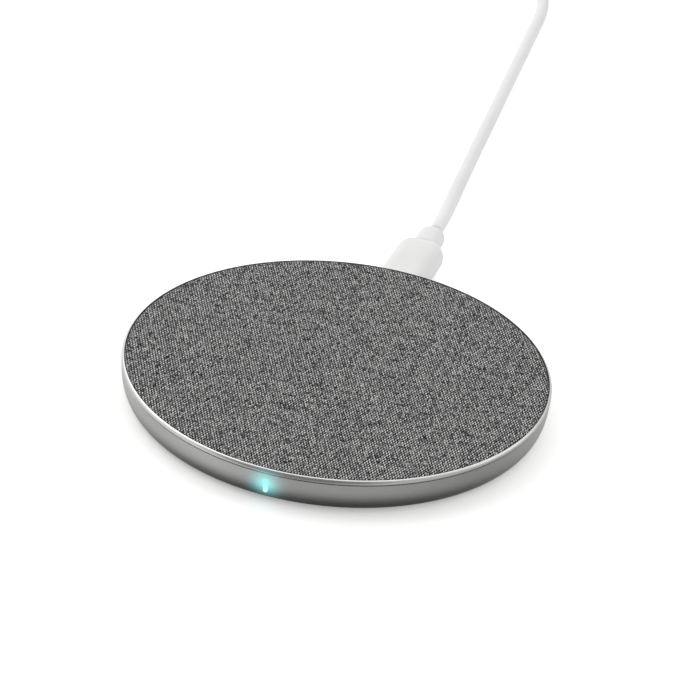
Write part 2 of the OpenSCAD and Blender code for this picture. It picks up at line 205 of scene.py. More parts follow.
def loft(name, axis, centre, sections, sharp=35):
    """A closed form through (distance, outline) sections, which all have as many points."""
    points = [place(axis, along, u, v, centre) for along, outline in sections for u, v in outline]
    n = len(sections[0][1])
    faces = [
        (i * n + k, i * n + (k + 1) % n, (i + 1) * n + (k + 1) % n, (i + 1) * n + k)
        for i in range(len(sections) - 1)
        for k in range(n)
    ]
    faces.append(tuple(range(n)))
    faces.append(tuple(range((len(sections) - 1) * n, len(sections) * n)))
    return mesh_object(name, points, faces, sharp)


def sleeve(name, axis, centre, outer, inner, start, end, edge=0.06 * MM):
    """A tube between two outlines, with small bevels at both ends."""

    def grown(outline, by):
        return [tuple(Vector(p) * (1 + by / Vector(p).length)) for p in outline]

    rings = [
        (start + edge, outer), (end - edge, outer), (end, grown(outer, -edge)),
        (end, grown(inner, edge)), (end - edge, inner), (start + edge, inner),
        (start, grown(inner, edge)), (start, grown(outer, -edge)),
    ]
    points = [place(axis, along, u, v, centre) for along, outline in rings for u, v in outline]
    n, m = len(outer), len(rings)
    faces = [
        (i * n + k, i * n + (k + 1) % n, (i + 1) % m * n + (k + 1) % n, (i + 1) % m * n + k)
        for i in range(m)
        for k in range(n)
    ]
    return mesh_object(name, points, faces)


def prism(name, axis, centre, outline, start, end):
    return loft(name, axis, centre, [(start, outline), (end, outline)])


# ---- Lead: the first thing made, because its coil has to stay out of the camera's view ----

# In millimetres, as in the CAD
LAY_Z = CORD_R / MM + 0.05
HANK_CENTRE = ((hank_low + hank_high) / 2) / MM
TIE_T = hank_low.z / MM
TURN_R = (hank_high.x - hank_low.x) / 2 / MM - CORD_R / MM
TURN_PITCH = 3.25
# The ring that each turn lies in, 0 outermost: inwards in the lower layer, then out again on top of it
TURN_RINGS = [0, 1, 2, 3, 3, 2, 1, 0]
LOWER_TURNS = 4
LAST_TURN = 0.25
CROSSOVER = 50 / 360
STEPS_PER_TURN = 72
LINE_STEPS = 6
NECK = NECK_BACK / MM
PORT = PORT_Z / MM
A_Y = (a_grip_low.y + a_grip_high.y) / 2 / MM
A_Z = (a_grip_low.z + a_grip_high.z) / 2 / MM
A_NECK_X = a_grip_low.x / MM
TAIL_Z = TIE_T + CORD_R / MM + TURN_PITCH

CORD_ROUTE = [
    (0, NECK - 3, PORT), (0, NECK, PORT), (-0.2, NECK + 5, PORT - 0.3),
    (-0.7, NECK + 11, PORT - 1), (-1.4, NECK + 18, LAY_Z + 0.5), (-2.2, NECK + 26, LAY_Z),
    (-3.3, NECK + 40, LAY_Z), (-4.8, NECK + 60, LAY_Z), (-6.4, NECK + 82, LAY_Z),
    (-8, NECK + 104, LAY_Z), (-9.6, NECK + 126, LAY_Z), (-11.3, NECK + 145, LAY_Z),
    (-15.6, NECK + 160, LAY_Z), (-21.4, NECK + 172, LAY_Z), (-25.4, NECK + 182, LAY_Z + 0.3),
]
CORD_TAIL = [
    (HANK_CENTRE.x + 4, A_Y - 1.8, TAIL_Z - 0.2), (HANK_CENTRE.x + 8, A_Y - 0.7, TAIL_Z - 0.8),
    (HANK_CENTRE.x + 10.5, A_Y, A_Z), (A_NECK_X + 3, A_Y, A_Z),
]


def smoothstep(t):
    t = min(max(t, 0), 1)
    return t * t * (3 - 2 * t)


def smooth_line(points):
    """A Catmull-Rom line through the points."""
    line = []
    last = len(points) - 1
    for i in range(last):
        a, b, c, d = (Vector(points[j]) for j in (max(i - 1, 0), i, i + 1, min(i + 2, last)))
        for k in range(LINE_STEPS):
            t = k / LINE_STEPS
            line.append(0.5 * (
                2 * b + (c - a) * t + (2 * a - 5 * b + 4 * c - d) * t ** 2
                + (3 * b - a - 3 * c + d) * t ** 3
            ))
    return line + [Vector(points[last])]


def coil_line():
    """The wound turns, clockwise from the side where the lead comes in: inwards, up, and out again."""
    line = []
    for turn, ring in enumerate(TURN_RINGS):
        final = turn == len(TURN_RINGS) - 1
        layer = 0 if turn < LOWER_TURNS else 1
        following = ring if final else TURN_RINGS[turn + 1]
        rise = 1 if turn == LOWER_TURNS - 1 else 0
        share = LAST_TURN if final else 1
        for k in range(round(STEPS_PER_TURN * share)):
            u = k / STEPS_PER_TURN
            cross = smoothstep((u - 1 + CROSSOVER) / CROSSOVER)
            radius = TURN_R - TURN_PITCH * (ring + (following - ring) * cross)
            radius -= rise * math.sin(math.pi * cross)
            height = TIE_T + CORD_R / MM + TURN_PITCH * (layer + rise * cross)
            angle = math.pi - 2 * math.pi * u
            line.append(Vector((
                HANK_CENTRE.x + radius * math.cos(angle), HANK_CENTRE.y + radius * math.sin(angle), height,
            )))
    return line


def make_lead():
    """The lead's curve, and its length in metres."""
    coil = coil_line()
    # A point inside the coil bends the line on either side to meet it, and the span to it is cut off
    first = smooth_line(CORD_ROUTE + [coil[0], coil[4]])[:-LINE_STEPS]
    coil_end = (HANK_CENTRE.x, HANK_CENTRE.y + TURN_R, TAIL_Z)
    tail = smooth_line([coil[-3], coil_end] + CORD_TAIL)[LINE_STEPS:]
    line = first[:-1] + coil + tail
    curve = bpy.data.curves.new("lead", "CURVE")
    curve.dimensions = "3D"
    curve.bevel_depth = 1
    curve.bevel_resolution = 7
    curve.use_fill_caps = True
    spline = curve.splines.new("POLY")
    spline.points.add(len(line) - 1)
    for point, place_mm in zip(spline.points, line):
        point.co = (*(place_mm * MM), 1)
        point.radius = CORD_R
    length = sum((b - a).length for a, b in zip(line, line[1:])) * MM
    return link("lead", curve), length


lead, lead_length = make_lead()
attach(lead, "cable")
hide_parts("cord_tube", "cord_coil", "cord_tail")

# ---- Materials ----


class Shader:
    """A material with a Principled shader, and short ways to add nodes to it."""

    def __init__(self, name):
        self.material = bpy.data.materials.new(name)
        self.material.use_nodes = True
        self.tree = self.material.node_tree
        self.bsdf = self.tree.nodes["Principled BSDF"]
        self.place = self.add("TexCoord").outputs["Object"]

    def add(self, kind, *inputs, **settings):
        node = self.tree.nodes.new("ShaderNode" + kind)
        for key, value in settings.items():
            setattr(node, key, value)
        for socket, value in zip(node.inputs, inputs):
            self.join(value, socket)
        return node

    def join(self, value, socket):
        if isinstance(value, bpy.types.NodeSocket):
            self.tree.links.new(value, socket)
        elif value is not None:
            socket.default_value = value

    def math(self, operation, *values, clamp=False):
        return self.add("Math", *values, operation=operation, use_clamp=clamp).outputs[0]

    def gap(self, value, middle):
        """How far the value is from the middle."""
        return self.math("ABSOLUTE", self.math("SUBTRACT", value, middle))

    def swing(self, noise, amount):
        """Noise as a push of up to half the amount either way."""
        return self.math("MULTIPLY", self.math("SUBTRACT", noise, 0.5), amount)

    def blend(self, a, part, b, rest):
        """The sum of two values, each times its share."""
        return self.math("ADD", self.math("MULTIPLY", a, part), self.math("MULTIPLY", b, rest))

    def vector(self, operation, a, b=None, output=0):
        return self.add("VectorMath", a, b, operation=operation).outputs[output]

    def split(self, vector):
        return self.add("SeparateXYZ", vector).outputs

    def combine(self, x, y, z=0.0):
        return self.add("CombineXYZ", x, y, z).outputs[0]

    def stretch(self, scale):
        node = self.add("Mapping", self.place)
        node.inputs["Scale"].default_value = scale
        return node.outputs[0]

    def noise(self, where, scale, detail=2.0, roughness=0.5):
        node = self.add("TexNoise")
        self.join(where, node.inputs["Vector"])
        node.inputs["Scale"].default_value = scale
        node.inputs["Detail"].default_value = detail
        node.inputs["Roughness"].default_value = roughness
        return node.outputs["Fac"]

    def span(self, value, low, high, to_low=0.0, to_high=1.0):
        return self.add("MapRange", value, low, high, to_low, to_high).outputs[0]

    def ramp(self, value, *stops):
        node = self.add("ValToRGB", value)
        points = node.color_ramp.elements
        while len(points) < len(stops):
            points.new(0.5)
        for point, (position, colour) in zip(points, stops):
            point.position = position
            point.color = (*colour, 1)
        return node.outputs[0]

    def mix(self, share, a, b):
        node = self.add("Mix", data_type="RGBA")
        self.join(share, node.inputs[0])
        for value, socket in ((a, node.inputs[6]), (b, node.inputs[7])):
            self.join((*value, 1) if isinstance(value, tuple) else value, socket)
        return node.outputs[2]

    def bump(self, height, distance, strength):
        node = self.add("Bump")
        self.join(height, node.inputs["Height"])
        node.inputs["Distance"].default_value = distance
        node.inputs["Strength"].default_value = strength
        self.join(node.outputs[0], self.bsdf.inputs["Normal"])

    def set(self, **values):
        for key, value in values.items():
            socket = self.bsdf.inputs[key.replace("_", " ")]
            self.join((*value, 1) if isinstance(value, tuple) else value, socket)


WARP_PITCH = 0.3 * MM
WEFT_PITCH = 0.72 * MM
WEAVE_TURN = math.radians(-4)
THREAD_WANDER = 0.5
WARP_PALER = 0.07
WEFT_DARKER = 0.13
# The darkest flecks of black fibre, and the painted shade in the low gaps between the threads
BLACK_FIBRE_AND_GAP_SHADE = (0.004, 0.004, 0.005)
FLECK_STOPS = (
    (0.31, BLACK_FIBRE_AND_GAP_SHADE), (0.43, (0.08, 0.08, 0.082)), (0.54, (0.36, 0.36, 0.362)), (0.68, (0.7, 0.7, 0.69)),
)


def heather_weave():
    """A plain weave of mixed yarns: pale warp threads in short flecks over a darker, sunken weft, with
    painted shade in the gaps between the threads.
    """
    s = Shader("heather_weave")
    turned = s.add("VectorRotate", s.place, (0, 0, 0), (0, 0, 1), WEAVE_TURN).outputs[0]
    cells = s.vector("MULTIPLY", turned, (1 / WARP_PITCH, 1 / WEFT_PITCH, 0))
    wander = s.add("TexNoise")
    s.join(cells, wander.inputs["Vector"])
    wander.inputs["Scale"].default_value = 0.35
    shift = s.vector("SUBTRACT", wander.outputs["Color"], (0.5, 0.5, 0.5))
    shift = s.vector("MULTIPLY", shift, (THREAD_WANDER, THREAD_WANDER, 0))
    u, v, _ = s.split(s.vector("ADD", cells, shift))
    column, row = s.math("FLOOR", u), s.math("FLOOR", v)
    across, along = (s.math("SUBTRACT", s.math("FRACT", x), 0.5) for x in (u, v))
    over = s.math("MODULO", s.math("ABSOLUTE", s.math("ADD", column, row)), 2.0)

    def yarn(where, off, on):
        """The flecks of one set of threads, and their height: round across a thread, arched along it."""
        fleck = s.noise(where, 1.0, 2.0, 0.65)
        fall = s.math("POWER", s.math("MULTIPLY", off, 2.0), 2.0)
        dome = s.math("SQRT", s.math("SUBTRACT", 1.0, fall, clamp=True))
        arch = s.math("COSINE", s.math("MULTIPLY", on, 2.4))
        return fleck, s.math("MULTIPLY", dome, arch)

    # Every thread reads the noise in a place of its own, stretched along the thread
    warp_place = s.combine(s.math("MULTIPLY", column, 7.31), s.math("MULTIPLY", v, 0.55))
    weft_place = s.combine(s.math("MULTIPLY", u, 0.5), s.math("MULTIPLY", row, 5.17), 40.0)
    warp, warp_height = yarn(warp_place, across, along)
    weft, weft_height = yarn(weft_place, along, across)
    pale, dark = s.math("ADD", warp, WARP_PALER), s.math("SUBTRACT", weft, WEFT_DARKER)
    fleck = s.add("Mix", over, None, pale, dark).outputs[0]
    height = s.add("Mix", over, None, warp_height, weft_height).outputs[0]
    fibre = s.noise(s.place, 14000, 2.0)
    patches = s.noise(s.place, 260, 2.0)
    tone = s.math("ADD", s.math("ADD", fleck, s.swing(patches, 0.08)), s.swing(fibre, 0.12))
    # Painted shade: the colour goes near black where the threads sink into the gaps between them
    painted_gap_shade_mix = s.span(height, 0.15, 0.75, 0.02, 1.0)
    s.set(
        Base_Color=s.mix(painted_gap_shade_mix, BLACK_FIBRE_AND_GAP_SHADE, s.ramp(tone, *FLECK_STOPS)),
        Roughness=s.span(fibre, 0, 1, 0.8, 0.98),
        Specular_IOR_Level=0.1,
    )
    s.bump(s.math("ADD", height, s.math("MULTIPLY", fibre, 0.35)), 0.1 * MM, 0.8)
    return s.material


GLOW = (0.16, 0.98, 1.0)
GLOW_PLACE = (0, rim_low.y + 0.3 * MM, SLOT_Z + 0.3 * MM)
# The radius and strength of the wide glow, and of the bright one close to the slot
HALOS = ((2.5 * MM, 0.6), (1.2 * MM, 0.12))


def satin_metal():
    """Bead-blasted, anodised aluminium, with the light's cyan spill on the metal beside its slot, and painted
    shade along the crease under the lip.
    """
    s = Shader("satin_metal")
    grain = s.noise(s.place, 5200, 3.0, 0.6)
    cloud = s.noise(s.place, 90, 3.0)
    wear = s.math("MULTIPLY", s.noise(s.place, 420, 4.0, 0.65), cloud)
    metal = s.ramp(grain, (0.3, (0.64, 0.64, 0.635)), (0.7, (0.74, 0.74, 0.73)))
    # Painted shade: the base colour goes up to 45% towards dark grey along the crease under the lip
    crease = s.span(s.gap(s.split(s.place)[2], CREASE_Z), 0.1 * MM, 0.22 * MM, 0.45, 0)
    away = s.vector("DISTANCE", s.place, GLOW_PLACE, output=1)

    def halo(radius, strength):
        share = s.math("POWER", s.math("DIVIDE", away, radius), 2.0)
        fall = s.math("EXPONENT", s.math("MULTIPLY", share, -1.0))
        return s.math("MULTIPLY", fall, strength)

    s.set(
        Base_Color=s.mix(crease, metal, (0.1, 0.1, 0.1)),
        Roughness=s.math("ADD", s.span(grain, 0.3, 0.7, 0.27, 0.36), s.math("MULTIPLY", wear, 0.12)),
        Metallic=1.0,
        Emission_Color=GLOW,
        Emission_Strength=s.math("ADD", *(halo(*look) for look in HALOS)),
    )
    s.bump(grain, 0.012 * MM, 0.5)
    return s.material


def glowing_window():
    """The clear light bar: near white at its lower end, where the lamp sits, and cyan above."""
    s = Shader("glowing_window")
    height = s.span(s.split(s.place)[2], pipe_low.z, pipe_high.z)
    ripple = s.noise(s.place, 2500, 2.0)
    level = s.math("ADD", height, s.swing(ripple, 0.25))
    s.set(
        Base_Color=(0.02, 0.1, 0.1),
        Roughness=s.span(ripple, 0, 1, 0.12, 0.25),
        Emission_Color=s.ramp(
            level, (0.1, (0.75, 1.0, 1.0)), (0.35, (0.5, 0.97, 1.0)), (0.9, (0.36, 0.95, 0.97))),
        Emission_Strength=0.92,
    )
    return s.material


def moulded(name, dark, light, rough, grain_scale, depth, painted_shade_creases=()):
    """Moulded plastic or rubber with a fine spark texture and faint cloudiness.

    Each crease is the Y where two forms meet, how far the painted shade beside it reaches, and how dark that
    is.
    """
    s = Shader(name)
    grain = s.noise(s.place, grain_scale, 3.0, 0.6)
    cloud = s.noise(s.place, 140, 3.0)
    tone = s.blend(grain, 0.5, cloud, 0.5)
    colour = s.ramp(tone, (0.35, dark), (0.65, light))
    # Painted shade: the colour darkens towards grey beside each crease, where shade falls between the forms
    for y, reach, share in painted_shade_creases:
        near = s.span(s.gap(s.split(s.place)[1], y), 0, reach, share, 0)
        colour = s.mix(near, colour, (0.3, 0.3, 0.3))
    s.set(Base_Color=colour, Roughness=s.span(tone, 0.35, 0.65, *rough))
    s.bump(grain, depth * MM, 0.6)
    return s.material


def plated(name, dark, light, along, rough):
    """Rolled or plated metal with fine drawing lines along one direction."""
    s = Shader(name)
    lines = s.noise(s.stretch(along), 2600, 3.0, 0.6)
    smudge = s.noise(s.place, 300, 3.0)
    tone = s.blend(lines, 0.7, smudge, 0.3)
    s.set(
        Base_Color=s.ramp(tone, (0.35, dark), (0.65, light)),
        Roughness=s.span(tone, 0.35, 0.65, *rough),
        Metallic=1.0,
    )
    s.bump(lines, 0.003 * MM, 0.4)
    return s.material


def strap_cloth():
    """Hook-and-loop strap: short dark loops in rows."""
    s = Shader("strap_cloth")
    loops = s.add("TexVoronoi", feature="F1")
    s.join(s.stretch((1, 1.6, 1)), loops.inputs["Vector"])
    loops.inputs["Scale"].default_value = 2600
    fuzz = s.noise(s.place, 6000, 3.0)
    tone = s.blend(loops.outputs["Distance"], 0.6, fuzz, 0.5)
    s.set(
        Base_Color=s.ramp(tone, (0.3, (0.012, 0.012, 0.014)), (0.75, (0.055, 0.056, 0.062))),
        Roughness=0.92,
        Sheen_Weight=0.4,
        Sheen_Roughness=0.6,
    )
    s.bump(tone, 0.15 * MM, 0.9)
    return s.material


def board_mask():
    """Solder mask over copper: traces show as paler bands, and pads as small tinned dots."""
    s = Shader("board_mask")
    run = s.noise(s.place, 260, 1.0)
    bands = s.math("PINGPONG", s.math("MULTIPLY", run, 26.0), 1.0)
    trace = s.span(bands, 0.45, 0.55)
    dots = s.add("TexVoronoi", feature="F1")
    s.join(s.place, dots.inputs["Vector"])
    dots.inputs["Scale"].default_value = 330
    pad = s.span(dots.outputs["Distance"], 0.1, 0.14, 1.0, 0.0)
    mask = s.mix(trace, (0.010, 0.085, 0.035), (0.02, 0.17, 0.07))
    s.set(
        Base_Color=s.mix(pad, mask, (0.62, 0.6, 0.55)),
        Metallic=s.math("MULTIPLY", pad, 0.9),
        Roughness=s.span(pad, 0, 1, 0.32, 0.22),
    )
    s.bump(s.math("ADD", trace, pad), 0.03 * MM, 0.5)
    return s.material


def litz():
    """Enamelled copper strands that twist round each wire."""
    s = Shader("litz")
    x, y, z = s.split(s.place)
    angle = s.math("ARCTAN2", y, x)
    radius = s.vector("LENGTH", s.place, output=1)
    twist = s.blend(angle, 90.0, radius, 9000.0)
    strand = s.math("SINE", s.math("ADD", twist, s.math("MULTIPLY", z, 9000.0)))
    grain = s.noise(s.place, 5000, 2.0)
    tone = s.math("ADD", s.math("MULTIPLY", strand, 0.35), grain)
    s.set(
        Base_Color=s.ramp(tone, (0.2, (0.22, 0.07, 0.03)), (0.8, (0.62, 0.27, 0.13))),
        Roughness=s.span(tone, 0.2, 0.8, 0.42, 0.26),
        Metallic=1.0,
    )
    s.bump(tone, 0.05 * MM, 0.6)
    return s.material


WHITE = ((0.72, 0.72, 0.725), (0.775, 0.775, 0.78))
# Painted shade in the grip's groove and where the lead leaves the neck: the Y, how far it reaches, and how
# dark it is
GRIP_GROOVE_SHADE = (GRIP_BACK + GROOVE / 2, MM, 0.4)
LEAD_JOIN_SHADE = (NECK_BACK, 2 * MM, 0.5)

# Darkest and palest colour, lowest and highest roughness, grains in a metre, their depth in millimetres, and
# for the grip and the lead the painted shade beside a crease
MOULDED = {
    "dark_plastic": ((0.014, 0.014, 0.016), (0.026, 0.027, 0.03), (0.5, 0.68), 2600, 0.04),
    "foot_rubber": ((0.018, 0.018, 0.019), (0.032, 0.032, 0.034), (0.75, 0.92), 1800, 0.05),
    "inner_plastic": ((0.02, 0.02, 0.022), (0.035, 0.035, 0.038), (0.45, 0.6), 3600, 0.02),
    "adhesive": ((0.55, 0.47, 0.25), (0.72, 0.64, 0.4), (0.3, 0.5), 900, 0.03),
    "ferrite": ((0.03, 0.03, 0.033), (0.07, 0.07, 0.075), (0.55, 0.8), 2400, 0.05),
    "gap_pad": ((0.24, 0.3, 0.42), (0.32, 0.4, 0.54), (0.7, 0.85), 2200, 0.06),
    "chip_black": ((0.012, 0.012, 0.013), (0.026, 0.026, 0.028), (0.4, 0.62), 5200, 0.02),
    "chip_ceramic": ((0.36, 0.25, 0.13), (0.52, 0.4, 0.24), (0.35, 0.5), 3000, 0.02),
    "insulator_black": ((0.012, 0.012, 0.014), (0.024, 0.024, 0.027), (0.45, 0.6), 3600, 0.02),
    "insulator_white": (*WHITE, (0.35, 0.5), 3000, 0.015),
    "grip_white": (*WHITE, (0.36, 0.5), 4200, 0.012, [GRIP_GROOVE_SHADE]),
    "cord_jacket": (*WHITE, (0.38, 0.5), 3000, 0.012, [LEAD_JOIN_SHADE]),
    "led_body": ((0.7, 0.7, 0.66), (0.82, 0.82, 0.78), (0.3, 0.4), 4000, 0.01),
}

# Darkest and palest colour, how close the drawing lines lie along each axis, lowest and highest roughness
PLATED = {
    "screw_steel": ((0.32, 0.33, 0.35), (0.5, 0.51, 0.53), (1, 1, 0.3), (0.18, 0.34)),
    "shield_aluminium": ((0.66, 0.67, 0.68), (0.82, 0.83, 0.84), (0.1, 1, 1), (0.18, 0.34)),
    "socket_steel": ((0.63, 0.64, 0.65), (0.74, 0.75, 0.77), (1, 0.08, 1), (0.18, 0.34)),
    "contact_gold": ((0.68, 0.46, 0.14), (0.9, 0.68, 0.28), (1, 0.1, 1), (0.15, 0.28)),
}

materials = {name: moulded(name, *look) for name, look in MOULDED.items()}
materials.update({name: plated(name, *look) for name, look in PLATED.items()})
materials.update(
    rim_metal=satin_metal(), woven_top=heather_weave(), copper_litz=litz(), board_green=board_mask(),
    tie_strap=strap_cloth(), light_window=glowing_window(),
)


def paint(piece, slot_name):
    piece.data.materials.clear()
    piece.data.materials.append(materials[slot_name])


def finish_piece(piece, body, slot_name, *nodes):
    """Paints a new piece, joins it to its body and lets it stand for its CAD nodes."""
    paint(piece, slot_name)
    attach(piece, body)
    if nodes:
        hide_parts(*nodes)
    return piece


for part in frame["record"]["subparts"]:
    node = frame["nodes"][part["node"]]
    for node_slot in node.material_slots:
        node_slot.material = materials[part["material_slot"]]
paint(lead, "cord_jacket")

# ---- Rim ----

LIP_STEPS = 12
SIDE_STEPS = 36
ROUND_STEPS = 360
EDGE = 0.08 * MM
SIDE_LEAN = 0.35 * MM
SIDE_TUCK = 1.35 * MM
SIDE_INSET = 0.02 * MM
RIM_WALL_R = RIM_R - 2.7 * MM
FLANGE_R = RIM_R - LIP_W - 3.5 * MM
FLANGE_Z = PAD_TOP - 1.9 * MM
RECESS_R = RIM_R - LIP_W
RECESS_Z = PAD_TOP - 1.1 * MM
# Width, height and corner radius
SLOT = (1.0 * MM, 3.4 * MM, 0.5 * MM)
PORT_OPENING = (8.6 * MM, 3.4 * MM, 0.7 * MM)
CUTTER_REACH = 3 * MM
RIM_SHARP = 28


def rim_profile():
    """The ring's section: round lip, crease, a side that leans in and tucks under, and the inside."""
    crease_z = PAD_TOP - LIP_H
    bottom = rim_low.z
    profile = []
    for k in range(LIP_STEPS + 1):
        a = math.pi / 2 * (1 - k / LIP_STEPS)
        profile.append((RECESS_R + LIP_W * math.cos(a), crease_z + LIP_H * math.sin(a)))
    profile += [
        (RIM_R - CREASE_DEPTH * 0.5, crease_z - CREASE_H * 0.2),
        (RIM_R - CREASE_DEPTH, crease_z - CREASE_H * 0.5),
        (RIM_R - CREASE_DEPTH * 0.5, crease_z - CREASE_H * 0.8),
    ]
    top = crease_z - CREASE_H
    for k in range(SIDE_STEPS + 1):
        t = k / SIDE_STEPS
        radius = RIM_R - SIDE_LEAN * t - SIDE_TUCK * t ** 4 - SIDE_INSET * (1 - t)
        profile.append((radius, top + (bottom - top) * t))
    return profile + [
        (RIM_WALL_R + EDGE, bottom), (RIM_WALL_R, bottom + EDGE), (RIM_WALL_R, FLANGE_Z),
        (FLANGE_R, FLANGE_Z), (FLANGE_R, RECESS_Z), (RECESS_R, RECESS_Z), (RECESS_R, PAD_TOP - EDGE),
    ]


def make_rim():
    rim = lathe("rim", rim_profile(), ROUND_STEPS, RIM_SHARP)
    slot = prism(
        "slot_cutter", "Y", (0, SLOT_Z), round_rect(*SLOT),
        rim_low.y - CUTTER_REACH, -RIM_WALL_R + CUTTER_REACH)
    port = prism(
        "port_cutter", "Y", (0, PORT_Z), round_rect(*PORT_OPENING),
        RIM_WALL_R - CUTTER_REACH, rim_high.y + CUTTER_REACH)
    carve(rim, slot, port, sharp=RIM_SHARP)
    return finish_piece(rim, "pad", "rim_metal", "rim_housing")


make_rim()

# ---- Woven top ----

WEAVE_DEPTH = 0.05 * MM
ROLL_R = 0.3 * MM
ROLL_STEPS = 5
FLAT_R = FABRIC_R - ROLL_R


def weave_height(x, y):
    """Each crossing of the threads is a small pillow, lower at its four corners."""
    c, s = math.cos(WEAVE_TURN), math.sin(WEAVE_TURN)
    u, v = (c * x - s * y) / WARP_PITCH, (s * x + c * y) / WEFT_PITCH
    pillow = (math.sin(math.pi * u) ** 2 + math.sin(math.pi * v) ** 2) / 2
    return fabric_high.z - WEAVE_DEPTH * (1 - pillow)


def make_fabric():
    """A grid with two points a thread, turned to the weave, trimmed round and rolled down at its edge."""
    wide, long = WARP_PITCH / 2, WEFT_PITCH / 2
    columns, rows = math.ceil(FABRIC_R / wide), math.ceil(FABRIC_R / long)
    c, s = math.cos(-WEAVE_TURN), math.sin(-WEAVE_TURN)
    mesh = bmesh.new()
    points = {}

    def point(i, j):
        if (i, j) not in points:
            x, y = c * i * wide - s * j * long, s * i * wide + c * j * long
            far = math.hypot(x, y)
            if far > FLAT_R:
                x, y = x * FLAT_R / far, y * FLAT_R / far
            points[i, j] = mesh.verts.new((x, y, weave_height(x, y)))
        return points[i, j]

    for i in range(-columns, columns):
        for j in range(-rows, rows):
            if math.hypot((i + 0.5) * wide, (j + 0.5) * long) < FLAT_R:
                mesh.faces.new((point(i, j), point(i + 1, j), point(i + 1, j + 1), point(i, j + 1)))
    for k in range(1, ROLL_STEPS + 2):
        edges = [e for e in mesh.edges if e.is_boundary]
        grown = bmesh.ops.extrude_edge_only(mesh, edges=edges)["geom"]
        a = math.pi / 2 * min(k / ROLL_STEPS, 1)
        radius = FLAT_R + ROLL_R * math.sin(a)
        height = fabric_high.z - WEAVE_DEPTH - (ROLL_R - WEAVE_DEPTH) * (1 - math.cos(a))
        if k > ROLL_STEPS:
            height = fabric_low.z
        for v in grown:
            if isinstance(v, bmesh.types.BMVert):
                far = math.hypot(v.co.x, v.co.y)
                v.co = (v.co.x * radius / far, v.co.y * radius / far, height)
    rim_edges = [e for e in mesh.edges if e.is_boundary]
    bmesh.ops.contextual_create(mesh, geom=rim_edges)
    bmesh.ops.recalc_face_normals(mesh, faces=mesh.faces)
    data = bpy.data.meshes.new("fabric_top")
    mesh.to_mesh(data)
    mesh.free()
    shade(data, 60)
    return finish_piece(link("fabric_top", data), "pad", "woven_top", "fabric_disc")


fabric_top = make_fabric()

# ---- Plug's grip and neck ----

GRIP_W = grip_high.x - grip_low.x
GRIP_T = grip_high.z - grip_low.z
GRIP_FRONT = grip_low.y
NECK_W = 6.3 * MM
NECK_T = 5.2 * MM
NECK_CORNER = 2.5 * MM
SHOULDER = 3 * MM
NECK_ROUND = 2.3 * MM
GRIP_EDGE = 0.5 * MM
LEAST_CORNER = 0.15 * MM


def rounded_run(start, end, size, corner, front, back, shoulder=None, steps=10):
    """Sections of a (width, height) block whose ends are rounded over those lengths.

    The back end shrinks by its length on every side, or by the shoulder's (width, height).
    """
    shoulder = shoulder or (back, back)
    sections = []
    for k in range(steps + 1):
        a = math.pi / 2 * k / steps
        share = 1 - math.sin(a)
        sections.append((start + front * (1 - math.cos(a)), share * front, share * front))
    for k in range(steps + 1):
        a = math.pi / 2 * k / steps
        share = 1 - math.cos(a)
        sections.append((end - back * (1 - math.sin(a)), share * shoulder[0], share * shoulder[1]))
    return [
        (along, round_rect(size[0] - 2 * u, size[1] - 2 * v, max(corner - v, LEAST_CORNER), 8))
        for along, u, v in sections
    ]


def make_plug_grip():
    """One moulding: a grip with round shoulders, a fine groove, and a shorter, round-ended neck."""
    shoulder = ((GRIP_W - NECK_W) / 2, (GRIP_T - NECK_T) / 2)
    grip = rounded_run(GRIP_FRONT, GRIP_BACK, (GRIP_W, GRIP_T), SHOULDER, GRIP_EDGE, SHOULDER, shoulder)
    neck = rounded_run(GRIP_BACK + GROOVE, NECK_BACK, (NECK_W, NECK_T), NECK_CORNER, GROOVE, NECK_ROUND)
    return loft("plug_grip", "Y", (0, PORT_Z), grip + neck, sharp=50)


plug_grip = finish_piece(make_plug_grip(), "cable", "grip_white", "plug_overmould")

# ---- Plug's metal shell ----

NOSE_W = 6.85 * MM
NOSE_H = 1.8 * MM
NOSE_WALL = 0.24 * MM
CATCH_X = 1.7 * MM
CATCH_START, CATCH_END = 2.1 * MM, 3.2 * MM
# Width, height and corner radius
CATCH = (0.9 * MM, 0.8 * MM, 0.1 * MM)


def make_plug_shell():
    """The plug's folded shell, with an opening for each of the socket's two catches underneath."""
    shell = sleeve(
        "plug_nose", "Y", (0, PORT_Z), small_usb(NOSE_W, NOSE_H, 0.7 * MM, 0.22 * MM),
        small_usb(NOSE_W - 2 * NOSE_WALL, NOSE_H - 2 * NOSE_WALL, 0.58 * MM, 0.12 * MM),
        plug_low.y, plug_high.y,
    )
    catches = [
        prism(
            f"catch_cutter_{k}", "Y", (side * CATCH_X, PORT_Z - NOSE_H / 2), round_rect(*CATCH),
            plug_low.y + CATCH_START, plug_low.y + CATCH_END)
        for k, side in enumerate((-1, 1))
    ]
    return carve(shell, *catches)


plug_nose = finish_piece(make_plug_shell(), "cable", "socket_steel", "plug_shell")

# ---- Strap round the coil ----

STRAP_ROUND = 1.3 * MM
STRAP_EDGE = 0.1 * MM


def make_strap():
    centre = ((tie_low.x + tie_high.x) / 2, (tie_low.z + tie_high.z) / 2)
    width, height = tie_high.x - tie_low.x, tie_high.z - tie_low.z
    thickness = TIE_T * MM
    band = sleeve(
        "coil_strap", "Y", centre, round_rect(width, height, STRAP_ROUND),
        round_rect(width - 2 * thickness, height - 2 * thickness, 0.9 * MM),
        tie_low.y, tie_high.y, STRAP_EDGE,
    )
    return finish_piece(band, "cable", "tie_strap", "coil_tie")


strap = make_strap()

# ---- USB-A plug ----

